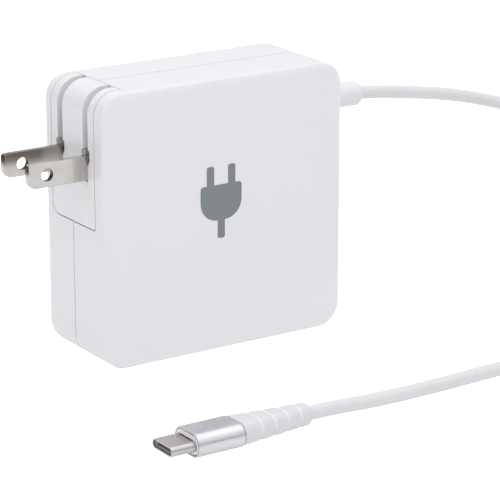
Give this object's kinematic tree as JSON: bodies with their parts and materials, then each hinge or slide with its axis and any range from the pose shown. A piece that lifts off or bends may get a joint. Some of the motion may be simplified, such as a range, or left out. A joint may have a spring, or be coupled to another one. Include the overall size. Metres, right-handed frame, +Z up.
{
  "type": "laptop power adapter",
  "caption": "Square white laptop power adapter with a removable corner plug, folding blades and a captive cable that ends in a small oval connector.",
  "frame": {"origin": "middle of the narrow face that the adapter stands on, between its left and right sides and between its front and back faces", "axes": "+X from the plug's side to the side that the cable leaves, -Y out of the broad front face, +Z up"},
  "size_m": [0.1865, 0.0945, 0.0719],
  "materials": {
    "white_plastic": "white polycarbonate with a soft satin sheen",
    "cable_white": "soft white moulded jacket",
    "cable_tie": "light grey woven hook-and-loop strap",
    "nickel": "nickel-plated brass, lightly brushed",
    "bronze": "spring bronze",
    "steel": "stainless steel",
    "sleeve_aluminium": "fine brushed and anodised aluminium",
    "heat_spreader": "plain aluminium",
    "copper": "enamelled copper wire",
    "black_plastic": "black moulded plastic",
    "ferrite": "dark ferrite",
    "circuit_board": "green solder mask on glass fibre",
    "insulating_sheet": "insulating film",
    "yellow_film": "yellow film or tape",
    "capacitor_can": "aluminium can",
    "blue_ceramic": "blue lacquered ceramic",
    "brown_wire": "brown wire insulation",
    "blue_wire": "blue wire insulation",
    "red_wire": "red wire insulation",
    "black_wire": "black wire insulation"
  },
  "bodies": {
    "root": {"front_shell": "white_plastic", "back_shell": "white_plastic", "cord_strain_relief": "white_plastic", "cable_lead": "cable_white", "cable_tail": "cable_white", "cable_coil": "cable_white", "plug_boot": "cable_white", "plug_collar": "cable_white", "cable_tie": "cable_tie", "inlet_pin_front": "nickel", "inlet_pin_rear": "nickel", "lock_stud": "steel", "connector_shell": "steel", "plug_sleeve": "sleeve_aluminium", "rear_heat_spreader": "heat_spreader", "front_heat_spreader": "heat_spreader", "transistor_heat_sink": "heat_spreader", "line_choke_winding": "copper", "output_choke": "copper", "inlet_block": "black_plastic", "fuse": "black_plastic", "bridge_rectifier": "black_plastic", "switching_transistor": "black_plastic", "transformer_bobbin": "black_plastic", "optocoupler": "black_plastic", "output_rectifier": "black_plastic", "controller_chip": "black_plastic", "contact_carrier": "black_plastic", "line_choke_core": "ferrite", "transformer_core_left": "ferrite", "transformer_core_right": "ferrite", "main_board": "circuit_board", "control_board": "circuit_board", "insulating_sheet": "insulating_sheet", "film_capacitor": "yellow_film", "transformer_winding": "yellow_film", "bulk_capacitor_1": "capacitor_can", "bulk_capacitor_2": "capacitor_can", "output_capacitor_1": "capacitor_can", "output_capacitor_2": "capacitor_can", "safety_capacitor": "blue_ceramic", "inlet_wire_front": "brown_wire", "inlet_wire_rear": "blue_wire", "output_wire_positive": "red_wire", "output_wire_negative": "black_wire"},
    "plug_module": {"plug_housing": "white_plastic", "plug_cover": "white_plastic", "contact_sleeve_front": "bronze", "contact_sleeve_rear": "bronze", "contact_spring_front": "bronze", "contact_spring_rear": "bronze", "detent_plate_front": "bronze", "detent_plate_rear": "bronze", "pivot_pin": "steel"},
    "blades": {"blade_front": "nickel", "blade_rear": "nickel", "blade_link": "black_plastic"}
  },
  "joints": [
    {"name": "plug_slide", "type": "slide", "parent": "root", "child": "plug_module", "axis": [0, 0, 1], "range_m": [0, 0.036]},
    {"name": "blade_fold", "type": "hinge", "parent": "plug_module", "child": "blades", "pos_m": [-0.0342, -0.0008, 0.0505], "axis": [0, 1, 0], "range_deg": [0, 90]}
  ]
}
